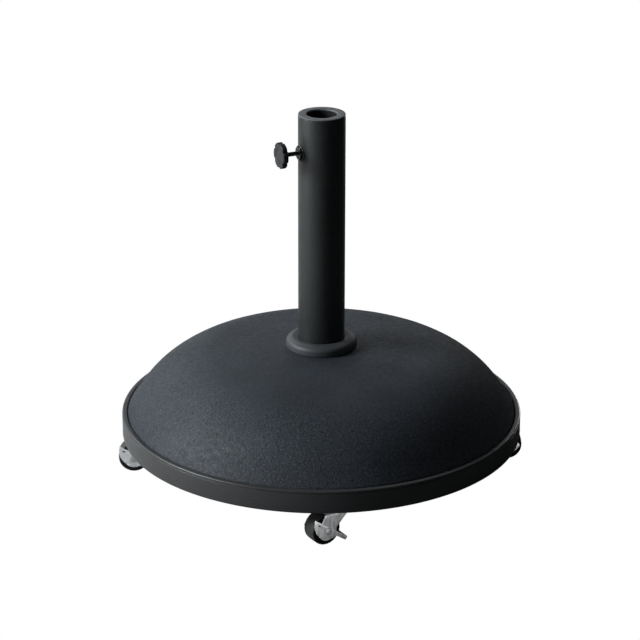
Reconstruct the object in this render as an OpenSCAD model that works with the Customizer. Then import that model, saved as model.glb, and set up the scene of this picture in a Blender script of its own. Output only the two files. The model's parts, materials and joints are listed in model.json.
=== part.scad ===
// Rolling parasol base: a domed concrete weight in a plastic tray on four braked
// swivel casters, with a steel mast tube and a clamp knob.
// Millimetres, +Z up, origin on the floor under the centre of the mast tube.

/* [Weight] */
// Radius of the visible edge of the concrete
weight_r = 252.5; // [240:0.5:254]
// Height of the top of the dome above the underside of the tray
dome_rise = 118; // [100:0.5:130]
// Radius of the shallow arc across the crown
crown_arc = 1150; // [900:10:1200]
// Slope at which the crown arc meets the shoulder arc, in degrees
crown_slope = 7; // [6.5:0.5:9]
// Radius of the shoulder arc
shoulder_arc = 140; // [136:1:145]
// Slope of the straight skirt below the shoulder, in degrees
skirt_slope = 55; // [52:1:58]

/* [Tray] */
// Outer diameter of the rim band
tray_d = 520; // [516:1:530]
// Height of the rim band
rim_h = 30.5; // [28:0.5:32]
// Thickness of the tray floor
tray_floor = 4; // [3:0.5:5]
// Thickness of the rim wall
rim_wall = 3; // [2.5:0.5:4]
// Width of the inward lip on top of the rim band
lip_w = 6.8; // [6:0.2:7]
// Rounding of the lower outside edge
tray_edge = 3; // [2.5:0.5:5]

/* [Mast tube] */
// Outer diameter of the tube
tube_d = 60; // [58:0.5:61]
// Wall thickness of the tube
tube_wall = 2; // [1.5:0.5:2.5]
// Height of the top of the tube above the underside of the tray
tube_top = 429; // [380:0.5:470]
// Bore of the reducer sleeve, for a 38 mm mast
sleeve_bore = 38.8; // [36:0.1:40]
// Length of the reducer sleeve
sleeve_len = 120; // [90:1:160]
// Outer diameter of the collar at the foot of the tube
collar_d = 91.6; // [88:0.2:96]
// Height of the collar
collar_h = 13.7; // [12:0.1:16]

/* [Clamp] */
// Direction in which the clamp screw points, in degrees from +X
clamp_dir = 204; // [0:1:359]
// Distance of the screw's axis below the top of the tube
clamp_drop = 48; // [40:1:60]
// Across the lobes of the knob
knob_d = 33.5; // [30:0.5:38]
// Lobes on the knob
knob_lobes = 6; // [5:1:7]

/* [Casters] */
// Height of a caster, from the floor to its top plate
caster_h = 49.5; // [49:0.5:52]
// Wheel diameter
wheel_d = 40; // [38:0.5:40]
// Width of the tyre
tyre_w = 22; // [18:0.5:22]
// Distance of the axle behind the swivel axis
trail = 22.5; // [21:0.5:24]
// Radius of the circle of swivel axes
stem_r = 223.5; // [205:0.5:225]
// Turn of the four casters about the centre, in degrees
stem_turn = 5.2; // [0:0.1:30]
// Slope of a brake lever, its pedal end down, in degrees
lever_slope = 35; // [33:1:36]

/* [Hidden] */
$fn = 96;
eps = 0.01;

// Heights
floor_top = caster_h + tray_floor;
tube_end = caster_h + tube_top;
clamp_z = tube_end - clamp_drop;

// Centres of the dome's two arcs, and the points where its stretches meet
crown_c = [0, caster_h + dome_rise - crown_arc];
crown_end = crown_c + crown_arc * [sin(crown_slope), cos(crown_slope)];
shoulder_c = crown_end - shoulder_arc * [sin(crown_slope), cos(crown_slope)];
skirt_top = shoulder_c + shoulder_arc * [sin(skirt_slope), cos(skirt_slope)];
skirt_foot = [weight_r, skirt_top[1] - (weight_r - skirt_top[0]) * tan(skirt_slope)];
weight_edge = 3;

// Mast tube and what holds it
tube_r = tube_d / 2;
tube_in = tube_r - tube_wall;
cast_gap = 0.3;
plate_t = 4;
foot_r = 60;
recess_h = 12;
foot_z = floor_top + recess_h;
bolt_n = 4;
bolt_pcr = 45;
bolt_r = 4;
bolt_head_r = 7.5;
bolt_head_h = 5.3;
bolt_reach = 16;
insert_r = 6.5;
insert_len = 25;
drain_r = 8;

// Reinforcement: two rings lying on four bars, all of one wire
wire_r = 3;
mesh_rings = [105, 205];
mesh_z = caster_h + 34;
mesh_bar = [80, 215];
bar_z = mesh_z - 2 * wire_r - 0.3;

// Clamp, measured outward from the axis of the tube
bore_r = sleeve_bore / 2;
nut_out = 33;
nut_corner = 9.4;
thread_r = 2.92;
nut_thread_r = 3;
pad_r = 5;
pad_in = 20.2;
pad_out = 25.4;
pad_hole_r = 5.08;
tube_hole_r = 5.5;
nose_r = 2.05;
nose_len = 2.5;
nose_seat_r = 2.1;
thread_in = 25.5;
neck_in = 46.5;
neck_r = 3.9;
neck_root_r = 8.5;
knob_in = 52;
knob_out = 59.2;
screw_out = 57;

// Casters: name, place around the circle and heading of the wheel
caster_at = [-90, 0, 90, 180];
heading = [212, 0, 52, 183];
FRONT = 0;
RIGHT = 1;
BACK = 2;
LEFT = 3;

plate_side = 40;
caster_plate_t = 2.2;
plate_corner = 4;
hole_pitch = 30;
screw_r = 2.1;
screw_hole_r = 2.4;
screw_head_r = 3.8;
screw_head_h = 2;
screw_reach = 18;
anchor_r = 4;
anchor_len = 22;

crown_z = 41.2;
crown_t = 1.8;
cup_r = 16.2;
cup_wall = 1.8;
cup_top = 46.5;
crown_tail = 24.5;
pin_r = 4;
pin_hole_r = 4.06;
pin_head_r = 6.2;
pin_head_h = 1.6;
pin_gap = 0.1;
ball_r = 1.5;
ball_pcr = 10.5;
ball_n = 12;
race_r = 13;
race_z = crown_z + crown_t + 2 * ball_r + 0.2;

wheel_r = wheel_d / 2;
axle_z = wheel_r;
leg_in = tyre_w / 2 + 0.5;
leg_t = 1.5;
leg_out = leg_in + leg_t;
leg_eye_r = 13;
leg_front = -10;
axle_r = 3;
hub_bore_r = 3.06;
hub_r = 12;
hub_half = tyre_w / 2 - 0.6;
hub_boss_r = 6;
hub_dish = 2.2;
tyre_edge = 3;
cheek_in = leg_out + 0.3;
cheek_t = 1.5;
cheek_out = cheek_in + cheek_t;
cheek_r = 22;
cheek_c = [-4, 10.5];
cheek_top = 4.8;
far_tip = 15;
cheek_hole = [-16.4, 1.2];
cheek_hole_r = 1.1;
rivet_r = 4.8;
rivet_in = cheek_out + 0.3;
rivet_h = 1.3;
lever_pedal = 31;
bridge_at = 21.6;
lever_t = 1.5;
arm_h = 5.3;

// Points along an arc, from angle a0 to a1
function arc(c, r, a0, a1, n) =
    [for (i = [0:n]) let (a = a0 + (a1 - a0) * i / n) c + r * [cos(a), sin(a)]];

// Height of the dome's crown at radius r
function crown_height(r) = crown_c[1] + sqrt(crown_arc * crown_arc - r * r);

// ---------------------------------------------------------------- weight and tray

module dome_profile() {
    polygon(concat(
        [[0, floor_top]],
        arc([weight_r - weight_edge, floor_top + weight_edge], weight_edge, -90, 0, 6),
        [skirt_foot],
        arc(shoulder_c, shoulder_arc, 90 - skirt_slope, 90 - crown_slope, 24),
        arc(crown_c, crown_arc, 90 - crown_slope, 90, 10)
    ));
}

module mesh_wires() {
    for (ring = mesh_rings)
        translate([0, 0, mesh_z]) rotate_extrude() translate([ring, 0]) circle(wire_r, $fn = 24);
    for (a = [45:90:315])
        rotate(a) translate([mesh_bar[0], 0, bar_z]) rotate([0, 90, 0])
            cylinder(r = wire_r, h = mesh_bar[1] - mesh_bar[0], $fn = 24);
}

module concrete_weight() {
    color([0.17, 0.17, 0.18])
    difference() {
        rotate_extrude($fn = 180) dome_profile();
        translate([0, 0, floor_top - 1]) cylinder(r = tube_r + cast_gap, h = 200);
        translate([0, 0, floor_top - 1]) cylinder(r = foot_r + 2, h = recess_h + 1);
        at_bolts() translate([0, 0, foot_z - 1]) cylinder(r = insert_r, h = insert_len + 1, $fn = 32);
        at_screws() translate([0, 0, floor_top - 1]) cylinder(r = anchor_r, h = anchor_len + 1, $fn = 24);
        mesh_wires();
    }
}

module reinforcing_mesh() {
    color([0.42, 0.33, 0.27]) mesh_wires();
}

// Tray: floor, outer wall with a rounded foot, and a lip turned inward on top
module tray_profile() {
    out_r = tray_d / 2;
    lip_in = out_r - lip_w;
    top = caster_h + rim_h;
    lip_round = 3;
    polygon(concat(
        [[drain_r, caster_h]],
        arc([out_r - tray_edge, caster_h + tray_edge], tray_edge, -90, 0, 8),
        arc([out_r - lip_round, top - lip_round], lip_round, 0, 90, 6),
        arc([lip_in + 1, top - 1], 1, 90, 180, 3),
        [[lip_in, top - rim_wall], [out_r - rim_wall, top - rim_wall]],
        arc([out_r - rim_wall - tray_floor, floor_top + tray_floor], tray_floor, 0, -90, 5),
        [[drain_r, floor_top]]
    ));
}

module base_tray() {
    rib_n = 24;
    rib_t = 3;
    rib_in = weight_r + 0.2;
    rib_out = tray_d / 2 - rim_wall + 0.5;
    color([0.1, 0.1, 0.105])
    union() {
        difference() {
            rotate_extrude($fn = 180) tray_profile();
            at_screws() translate([0, 0, caster_h - 1]) cylinder(r = screw_hole_r, h = tray_floor + 2, $fn = 24);
        }
        for (i = [0:rib_n - 1]) rotate((i + 0.5) * 360 / rib_n)
            translate([rib_in, -rib_t / 2, floor_top + tray_floor])
                cube([rib_out - rib_in, rib_t, rim_h - 2 * tray_floor - rim_wall + 0.5]);
    }
}

// ---------------------------------------------------------------- mast tube

module at_bolts() {
    for (i = [0:bolt_n - 1]) rotate(45 + i * 360 / bolt_n) translate([bolt_pcr, 0, 0]) children();
}

// Places children on the clamp screw's axis, with +X outward
module on_clamp() {
    translate([0, 0, clamp_z]) rotate(clamp_dir) children();
}

// A round bar along the clamp's axis, between two distances from the tube's axis
module clamp_bar(r, from, to, sides = 48) {
    translate([from, 0, 0]) rotate([0, 90, 0]) cylinder(r = r, h = to - from, $fn = sides);
}

module mast_tube() {
    color([0.1, 0.1, 0.105])
    difference() {
        translate([0, 0, foot_z]) cylinder(r = tube_r, h = tube_end - foot_z);
        translate([0, 0, foot_z - 1]) cylinder(r = tube_in, h = tube_end - foot_z + 2);
        on_clamp() clamp_bar(tube_hole_r, tube_in - 5, tube_r + 5);
    }
}

module foot_plate() {
    color([0.12, 0.12, 0.125])
    difference() {
        translate([0, 0, foot_z - plate_t]) cylinder(r = foot_r, h = plate_t);
        translate([0, 0, foot_z - plate_t - 1]) cylinder(r = drain_r, h = plate_t + 2);
        at_bolts() translate([0, 0, foot_z - plate_t - 1]) cylinder(r = bolt_r, h = plate_t + 2, $fn = 32);
    }
}

module foot_bolts() {
    color([0.7, 0.7, 0.72])
    at_bolts() {
        translate([0, 0, foot_z - plate_t - bolt_head_h]) cylinder(r = bolt_head_r, h = bolt_head_h, $fn = 6);
        translate([0, 0, foot_z - plate_t - eps]) cylinder(r = bolt_r, h = plate_t + bolt_reach, $fn = 32);
    }
}

module foot_inserts() {
    color([0.72, 0.6, 0.3])
    at_bolts() translate([0, 0, foot_z]) difference() {
        cylinder(r = insert_r, h = insert_len, $fn = 32);
        translate([0, 0, -1]) cylinder(r = bolt_r, h = bolt_reach + 3, $fn = 32);
    }
}

// Rounded ring that covers the joint between tube and concrete
module collar() {
    out_r = collar_d / 2;
    in_r = tube_r + 0.2;
    foot = crown_height(out_r) + 0.05;
    bulge = collar_h * 0.52;
    top = foot + collar_h;
    shelf = 4.5;
    color([0.1, 0.1, 0.105])
    rotate_extrude() polygon(concat(
        [[in_r, crown_height(in_r) + 0.05], [out_r - 1, crown_height(out_r - 1) + 0.05], [out_r, foot + 1]],
        arc([out_r - bulge, foot + bulge], bulge, 0, 62, 10),
        arc([in_r + shelf, top - 3.5], 3.5, 55, 90, 5),
        [[in_r, top]]
    ));
}

module reducer_sleeve() {
    color([0.2, 0.2, 0.21])
    difference() {
        translate([0, 0, tube_end - sleeve_len]) cylinder(r = tube_in - 0.05, h = sleeve_len);
        translate([0, 0, tube_end - sleeve_len - 1]) cylinder(r = bore_r, h = sleeve_len + 2);
        on_clamp() clamp_bar(pad_hole_r, bore_r - 5, tube_in + 5);
    }
}

// ---------------------------------------------------------------- clamp

// Hexagon nut welded to the outside of the tube
module clamp_nut() {
    color([0.1, 0.1, 0.105])
    difference() {
        on_clamp() translate([tube_r - 2, 0, 0]) rotate([0, 90, 0])
            cylinder(r = nut_corner, h = nut_out - tube_r + 2, $fn = 6);
        translate([0, 0, clamp_z - 20]) cylinder(r = tube_r, h = 40);
        on_clamp() clamp_bar(nut_thread_r, tube_r - 5, nut_out + 5);
    }
}

// Plastic tip that stays still on the mast while the screw turns in it
module screw_pad() {
    color([0.85, 0.84, 0.8])
    on_clamp() difference() {
        clamp_bar(pad_r, pad_in, pad_out);
        clamp_bar(nose_seat_r, thread_in - nose_len - 0.2, pad_out + 1);
    }
}

module clamp_screw() {
    color([0.12, 0.12, 0.125])
    on_clamp() union() {
        clamp_bar(nose_r, thread_in - nose_len, thread_in + 1);
        clamp_bar(thread_r, thread_in, screw_out);
    }
}

// Round outline with a finger notch between each pair of broad lobes
module lobed_outline(r) {
    notch_r = 5;
    notch_depth = 2.1;
    difference() {
        circle(r);
        for (i = [0:knob_lobes - 1]) rotate((i + 0.5) * 360 / knob_lobes)
            translate([r - notch_depth + notch_r, 0]) circle(notch_r, $fn = 48);
    }
}

module clamp_knob() {
    bevel = 0.8;
    bevel_in = 0.7;
    color([0.12, 0.12, 0.125])
    on_clamp() rotate([0, 90, 0]) difference() {
        union() {
            translate([0, 0, neck_in]) cylinder(r1 = neck_r, r2 = neck_root_r, h = knob_in - neck_in + eps);
            translate([0, 0, knob_in]) linear_extrude(bevel + eps) lobed_outline(knob_d / 2 - bevel_in);
            translate([0, 0, knob_in + bevel]) linear_extrude(knob_out - knob_in - 2 * bevel)
                lobed_outline(knob_d / 2);
            translate([0, 0, knob_out - bevel - eps]) linear_extrude(bevel + eps)
                lobed_outline(knob_d / 2 - bevel_in);
        }
        translate([0, 0, neck_in - 1]) cylinder(r = thread_r, h = screw_out - neck_in + 1, $fn = 48);
    }
}

// ---------------------------------------------------------------- casters

// Places children at caster i's swivel axis, square to the radius
module at_stem(i) {
    rotate(caster_at[i] + stem_turn) translate([stem_r, 0, 0]) children();
}

// Places children at caster i's swivel axis, with +X toward its axle
module at_heading(i) {
    at_stem(i) rotate(heading[i] - caster_at[i] - stem_turn) children();
}

// Places children on caster i's axle, with +Z along the axle
module on_axle(i) {
    at_heading(i) translate([trail, 0, axle_z]) rotate([90, 0, 0]) children();
}

module at_plate_holes() {
    for (x = [-1, 1], y = [-1, 1]) translate([x * hole_pitch / 2, y * hole_pitch / 2, 0]) children();
}

module at_screws() {
    for (i = [FRONT, RIGHT, BACK, LEFT]) at_stem(i) at_plate_holes() children();
}

// A disc or bar centred on the axle, between two distances from the wheel's middle
module axle_bar(r, from, to, sides = 64) {
    translate([0, 0, from]) cylinder(r = r, h = to - from, $fn = sides);
}

module caster_plate(i) {
    inner = plate_side / 2 - plate_corner;
    color([0.75, 0.76, 0.78])
    at_stem(i) difference() {
        union() {
            translate([0, 0, caster_h - caster_plate_t]) linear_extrude(caster_plate_t) union() {
                square([plate_side, 2 * inner], center = true);
                square([2 * inner, plate_side], center = true);
                for (x = [-inner, inner], y = [-inner, inner]) translate([x, y]) circle(plate_corner, $fn = 32);
            }
            translate([0, 0, race_z]) cylinder(r = race_r, h = caster_h - caster_plate_t - race_z + eps);
        }
        translate([0, 0, race_z - 1]) cylinder(r = pin_r, h = caster_h);
        at_plate_holes() translate([0, 0, race_z - 1]) cylinder(r = screw_hole_r, h = caster_h, $fn = 24);
    }
}

module kingpin(i) {
    head_top = crown_z - pin_gap;
    color([0.7, 0.7, 0.72])
    at_stem(i) union() {
        translate([0, 0, head_top - pin_head_h]) cylinder(r = pin_head_r, h = pin_head_h);
        translate([0, 0, head_top - eps]) cylinder(r = pin_r, h = caster_h - head_top + eps);
    }
}

module caster_screws() {
    head_top = caster_h - caster_plate_t;
    color([0.7, 0.7, 0.72])
    at_screws() union() {
        translate([0, 0, head_top - screw_head_h]) cylinder(r = screw_head_r, h = screw_head_h, $fn = 24);
        translate([0, 0, head_top - eps])
            cylinder(r = screw_r, h = caster_plate_t + tray_floor + screw_reach, $fn = 24);
    }
}

module caster_anchors() {
    color([0.6, 0.6, 0.58])
    at_screws() translate([0, 0, floor_top]) difference() {
        cylinder(r = anchor_r, h = anchor_len, $fn = 24);
        translate([0, 0, -1]) cylinder(r = screw_r, h = screw_reach + 2, $fn = 24);
    }
}

module swivel_balls() {
    color([0.8, 0.8, 0.82])
    for (i = [FRONT, RIGHT, BACK, LEFT]) at_stem(i)
        for (k = [0:ball_n - 1]) rotate(k * 360 / ball_n)
            translate([ball_pcr, 0, crown_z + crown_t + ball_r + 0.1]) sphere(ball_r, $fn = 16);
}

// A point just inside the rim of the leg's eye, at an angle from the trailing side
function eye_point(a) = [trail, axle_z] + (leg_eye_r - 0.6) * [cos(a), sin(a)];

// Outline of a fork leg, seen along the axle: +X back to the axle, +Y up
module leg_outline() {
    top = crown_z + crown_t;
    polygon([
        [leg_front, top], [crown_tail, top], [crown_tail, crown_z],
        eye_point(50), [trail, axle_z - 2], eye_point(172)
    ]);
    translate([trail, axle_z]) circle(leg_eye_r, $fn = 64);
}

// Pressed fork: a crown with a ball cup on top, and a leg each side of the wheel
module fork(i) {
    color([0.78, 0.79, 0.81])
    at_heading(i) difference() {
        union() {
            translate([0, 0, crown_z]) linear_extrude(crown_t) union() {
                circle(cup_r);
                translate([0, -leg_out]) square([crown_tail, 2 * leg_out]);
            }
            translate([0, 0, crown_z]) difference() {
                cylinder(r = cup_r, h = cup_top - crown_z);
                translate([0, 0, crown_t]) cylinder(r = cup_r - cup_wall, h = cup_top);
            }
            for (y = [-leg_in, leg_out]) translate([0, y, 0]) rotate([90, 0, 0])
                linear_extrude(leg_t) leg_outline();
        }
        translate([0, 0, crown_z - 1]) cylinder(r = pin_hole_r, h = crown_t + 2);
        translate([trail, 2 * leg_out, axle_z]) rotate([90, 0, 0]) cylinder(r = axle_r, h = 4 * leg_out, $fn = 48);
    }
}

module axle(i) {
    color([0.72, 0.72, 0.74])
    on_axle(i) union() {
        axle_bar(axle_r, -rivet_in - eps, rivet_in + eps, 48);
        axle_bar(rivet_r, rivet_in, rivet_in + rivet_h, 48);
        axle_bar(rivet_r, -rivet_in - rivet_h, -rivet_in, 48);
    }
}

// Nylon wheel centre, dished between its boss and its rim
module hub(i) {
    color([0.13, 0.13, 0.13])
    on_axle(i) difference() {
        axle_bar(hub_r, -hub_half, hub_half);
        for (side = [0, 1]) mirror([0, 0, side]) translate([0, 0, hub_half - hub_dish]) difference() {
            cylinder(r = hub_r - 1.5, h = hub_dish + 1);
            translate([0, 0, -1]) cylinder(r = hub_boss_r, h = hub_dish + 3);
        }
        axle_bar(hub_bore_r, -hub_half - 1, hub_half + 1, 48);
    }
}

module tyre(i) {
    half = tyre_w / 2;
    color([0.07, 0.07, 0.07])
    on_axle(i) rotate_extrude() polygon(concat(
        [[hub_r, -half + 0.6], [hub_r + 1, -half]],
        arc([wheel_r - tyre_edge, -half + tyre_edge], tyre_edge, -90, 0, 6),
        arc([wheel_r - tyre_edge, half - tyre_edge], tyre_edge, 0, 90, 6),
        [[hub_r + 1, half], [hub_r, half - 0.6]]
    ));
}

// Outline of a lever cheek: a segment of a disc below a straight top edge that runs on as
// the pedal arm toward +X. The segment is cut off at -tip.
module cheek_outline(tip) {
    difference() {
        union() {
            intersection() {
                translate(cheek_c) circle(cheek_r, $fn = 128);
                translate([-tip, cheek_top - 2 * cheek_r]) square([tip + 2 * cheek_r, 2 * cheek_r]);
            }
            translate([0, cheek_top - arm_h]) square([lever_pedal, arm_h]);
        }
        circle(hub_bore_r, $fn = 48);
        translate(cheek_hole) circle(cheek_hole_r, $fn = 24);
    }
}

// Brake lever: a cheek outside each fork leg, joined past the tyre by the pedal plate. One
// cheek runs on to a toe tip that lifts the pedal; the other stops short of the tyre's edge.
module brake(i) {
    color([0.76, 0.77, 0.79])
    on_axle(i) rotate(180 + lever_slope) mirror([0, 1, 0]) union() {
        translate([0, 0, -cheek_out]) linear_extrude(cheek_t) cheek_outline(2 * cheek_r);
        translate([0, 0, cheek_in]) linear_extrude(cheek_t) cheek_outline(far_tip);
        translate([bridge_at, cheek_top - lever_t, -cheek_in - eps])
            cube([lever_pedal - bridge_at, lever_t, 2 * cheek_in + 2 * eps]);
    }
}

concrete_weight();
reinforcing_mesh();
base_tray();
mast_tube();
foot_plate();
foot_bolts();
foot_inserts();
collar();
reducer_sleeve();
clamp_nut();
screw_pad();
clamp_screw();
clamp_knob();
caster_screws();
caster_anchors();
swivel_balls();
caster_plate(FRONT);  // caster_plate_front
caster_plate(RIGHT);  // caster_plate_right
caster_plate(BACK);  // caster_plate_back
caster_plate(LEFT);  // caster_plate_left
kingpin(FRONT);  // kingpin_front
kingpin(RIGHT);  // kingpin_right
kingpin(BACK);  // kingpin_back
kingpin(LEFT);  // kingpin_left
fork(FRONT);  // fork_front
fork(RIGHT);  // fork_right
fork(BACK);  // fork_back
fork(LEFT);  // fork_left
axle(FRONT);  // axle_front
axle(RIGHT);  // axle_right
axle(BACK);  // axle_back
axle(LEFT);  // axle_left
hub(FRONT);  // hub_front
hub(RIGHT);  // hub_right
hub(BACK);  // hub_back
hub(LEFT);  // hub_left
tyre(FRONT);  // tyre_front
tyre(RIGHT);  // tyre_right
tyre(BACK);  // tyre_back
tyre(LEFT);  // tyre_left
brake(FRONT);  // brake_front
brake(RIGHT);  // brake_right
brake(BACK);  // brake_back
brake(LEFT);  // brake_left
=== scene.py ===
"""Looks of a rolling parasol base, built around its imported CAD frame. Metres, +Z up."""

import json
import math

import bmesh
import bpy
import numpy as np
from mathutils import Matrix, Vector, noise


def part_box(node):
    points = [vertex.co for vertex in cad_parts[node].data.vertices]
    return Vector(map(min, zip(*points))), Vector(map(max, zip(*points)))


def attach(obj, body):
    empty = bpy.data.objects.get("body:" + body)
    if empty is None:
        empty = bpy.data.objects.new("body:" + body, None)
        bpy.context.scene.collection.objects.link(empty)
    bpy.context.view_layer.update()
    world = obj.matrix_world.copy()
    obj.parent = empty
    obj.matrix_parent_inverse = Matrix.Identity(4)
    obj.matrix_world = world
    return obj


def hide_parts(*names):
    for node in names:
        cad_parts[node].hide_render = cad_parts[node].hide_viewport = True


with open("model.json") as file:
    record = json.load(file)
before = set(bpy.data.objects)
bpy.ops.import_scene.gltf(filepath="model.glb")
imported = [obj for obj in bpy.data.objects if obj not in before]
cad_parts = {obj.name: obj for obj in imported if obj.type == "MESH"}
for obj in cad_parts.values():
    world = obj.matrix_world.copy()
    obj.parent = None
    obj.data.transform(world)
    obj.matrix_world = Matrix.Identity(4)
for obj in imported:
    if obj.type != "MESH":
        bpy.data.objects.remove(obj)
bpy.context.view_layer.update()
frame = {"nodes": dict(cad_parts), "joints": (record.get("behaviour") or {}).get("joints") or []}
MM = 0.001
TURN = 2 * math.pi
CASTERS = ("front", "right", "back", "left")
JOINTS = {joint["name"]: joint for joint in frame["joints"]}


# ---------------------------------------------------------------- camera, light and stage

CAMERA_AIM = Vector((0, 0, 0.1392))
CAMERA_DISTANCE = 3.204
CAMERA_ELEVATION = math.radians(22.565)
CAMERA_PITCH_UP = math.radians(1.027)
CAMERA_YAW = math.radians(0.037)
CAMERA_ROLL = math.radians(0.1)
CAMERA_LENS_MM = 138.54


NEUTRAL, COOL = (1, 1, 1), (0.94, 0.975, 1)
AMBIENT_TINT, AMBIENT_STRENGTH = (0.9, 0.95, 1), 0.05
FLOOR_SIZE = 30
# The floor's colour is painted from pale on the key light's side to dark on the shaded side, a
# painted light and shade for the bounce that it returns.
FADE_START_X, FADE_END_X = -0.35, 0.05
FADE_PALE, FADE_DARK = 0.7, 0.1


def make_camera():
    data = bpy.data.cameras.new("camera")
    data.lens = CAMERA_LENS_MM
    data.clip_end = 50
    camera = bpy.data.objects.new("camera", data)
    back = Vector((0, -math.cos(CAMERA_ELEVATION), math.sin(CAMERA_ELEVATION)))
    tilt = math.pi / 2 - CAMERA_ELEVATION + CAMERA_PITCH_UP
    turn = Matrix.Rotation(CAMERA_YAW, 4, "Z") @ Matrix.Rotation(tilt, 4, "X")
    place_at = Matrix.Translation(CAMERA_AIM + back * CAMERA_DISTANCE)
    camera.matrix_world = place_at @ turn @ Matrix.Rotation(CAMERA_ROLL, 4, "Z")
    bpy.context.scene.collection.objects.link(camera)
    bpy.context.scene.camera = camera


def area_light(name, place, aim, size, power, tint=NEUTRAL):
    data = bpy.data.lights.new(name, "AREA")
    data.shape = "RECTANGLE"
    data.size, data.size_y = size
    data.energy = power
    data.color = tint
    light = bpy.data.objects.new(name, data)
    light.location = place
    light.rotation_euler = (Vector(aim) - Vector(place)).to_track_quat("-Z", "Y").to_euler()
    bpy.context.scene.collection.objects.link(light)
    return light


def make_lights():
    area_light("key", (-2.6, -0.5, 1.6), (0, 0, 0.2), (1.2, 1.0), 82, COOL)
    area_light("low_key", (-2.75, -0.95, 0.95), (0, 0, 0.2), (1.4, 1.3), 20, COOL)
    area_light("back", (-1.7, 1.7, 1.5), (0, 0, 0.15), (1.2, 1.0), 19, COOL)
    area_light("top", (0.7, 1.5, 2.4), (0, 0, 0.1), (1.0, 1.0), 4.5, COOL)
    area_light("backdrop", (0.2, 3.2, 0.8), (0, 0, 0.2), (3.0, 0.7), 8, COOL)


def light_only(light, pieces):
    """Keeps a light off everything but the pieces."""
    lit = bpy.data.collections.new(f"lit_by_{light.name}")
    for piece in pieces:
        lit.objects.link(piece)
    light.light_linking.receiver_collection = lit


def make_world():
    """White where the camera looks at it, and a dim even light on the object."""
    world = bpy.data.worlds.new("studio")
    bpy.context.scene.world = world
    world.use_nodes = True
    nodes, links = world.node_tree.nodes, world.node_tree.links
    nodes.clear()
    out = nodes.new("ShaderNodeOutputWorld")
    mix = nodes.new("ShaderNodeMixShader")
    path = nodes.new("ShaderNodeLightPath")
    dim, white = nodes.new("ShaderNodeBackground"), nodes.new("ShaderNodeBackground")
    dim.inputs["Color"].default_value = (*AMBIENT_TINT, 1)
    dim.inputs["Strength"].default_value = AMBIENT_STRENGTH
    white.inputs["Color"].default_value = (1, 1, 1, 1)
    white.inputs["Strength"].default_value = 1.0
    links.new(path.outputs["Is Camera Ray"], mix.inputs["Fac"])
    links.new(dim.outputs[0], mix.inputs[1])
    links.new(white.outputs[0], mix.inputs[2])
    links.new(mix.outputs[0], out.inputs["Surface"])


def make_floor():
    """White where the camera looks at it, and a matt surface for the light that it returns, its
    colour painted pale on the key light's side and dark on the shaded side.
    """
    bpy.ops.mesh.primitive_plane_add(size=FLOOR_SIZE, location=(0, 0, 0))
    floor = bpy.context.object
    floor.name = "floor"
    material = bpy.data.materials.new("floor_painted_light")
    material.use_nodes = True
    nodes, links = material.node_tree.nodes, material.node_tree.links
    shader = nodes["Principled BSDF"]
    across = nodes.new("ShaderNodeSeparateXYZ")
    links.new(nodes.new("ShaderNodeTexCoord").outputs["Object"], across.inputs[0])
    # painted light and shade: the floor's colour runs from pale on the key light's side to dark on
    # the shaded side
    shade = nodes.new("ShaderNodeMapRange")
    shade.inputs["From Min"].default_value = FADE_START_X
    shade.inputs["From Max"].default_value = FADE_END_X
    shade.inputs["To Min"].default_value = FADE_PALE
    shade.inputs["To Max"].default_value = FADE_DARK
    links.new(across.outputs["X"], shade.inputs["Value"])
    links.new(shade.outputs["Result"], shader.inputs["Base Color"])
    shader.inputs["Roughness"].default_value = 0.9
    shader.inputs["Specular IOR Level"].default_value = 0
    glow = nodes.new("ShaderNodeEmission")
    glow.inputs["Strength"].default_value = 1.0
    mix = nodes.new("ShaderNodeMixShader")
    path = nodes.new("ShaderNodeLightPath")
    links.new(path.outputs["Is Camera Ray"], mix.inputs["Fac"])
    links.new(shader.outputs[0], mix.inputs[1])
    links.new(glow.outputs[0], mix.inputs[2])
    links.new(mix.outputs[0], nodes["Material Output"].inputs["Surface"])
    floor.data.materials.append(material)


# ---------------------------------------------------------------- mesh helpers


def mesh_object(name, verts, faces):
    """A linked object from points and faces, with outward normals."""
    mesh = bpy.data.meshes.new(name)
    mesh.from_pydata([tuple(v) for v in verts], [], faces)
    shell = bmesh.new()
    shell.from_mesh(mesh)
    bmesh.ops.recalc_face_normals(shell, faces=shell.faces)
    shell.to_mesh(mesh)
    shell.free()
    piece = bpy.data.objects.new(name, mesh)
    bpy.context.scene.collection.objects.link(piece)
    return piece


def arc(centre, radius, start, end, steps):
    """Points along an arc, from one angle to another in degrees."""
    angles = np.radians(np.linspace(start, end, steps + 1))
    return [(centre[0] + radius * math.cos(a), centre[1] + radius * math.sin(a)) for a in angles]


def rounded(corners, steps=5):
    """An outline from (x, y, radius) corners, each rounded by an arc touching both its sides."""
    outline = []
    count = len(corners)
    for i, (x, y, radius) in enumerate(corners):
        here = Vector((x, y))
        if radius <= 0:
            outline.append((x, y))
            continue
        before = (Vector(corners[i - 1][:2]) - here).normalized()
        after = (Vector(corners[(i + 1) % count][:2]) - here).normalized()
        half = before.angle(after) / 2
        middle = here + (before + after).normalized() * (radius / math.sin(half))
        first = here + before * (radius / math.tan(half)) - middle
        last = here + after * (radius / math.tan(half)) - middle
        sweep = first.angle_signed(last)
        for k in range(steps + 1):
            spoke = first.copy()
            spoke.rotate(Matrix.Rotation(-sweep * k / steps, 2))
            outline.append(tuple(middle + spoke))
    return outline


def grid_faces(rows, columns, wrap_rows, wrap_columns):
    """Quads over a grid of points stored row by row."""
    faces = []
    for r in range(rows if wrap_rows else rows - 1):
        for c in range(columns if wrap_columns else columns - 1):
            r2, c2 = (r + 1) % rows, (c + 1) % columns
            faces.append((r * columns + c, r * columns + c2, r2 * columns + c2, r2 * columns + c))
    return faces


def caps(rings, around):
    """The two end faces of a stack of rings."""
    return [tuple(range(around))[::-1], tuple(range((rings - 1) * around, rings * around))]


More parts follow.
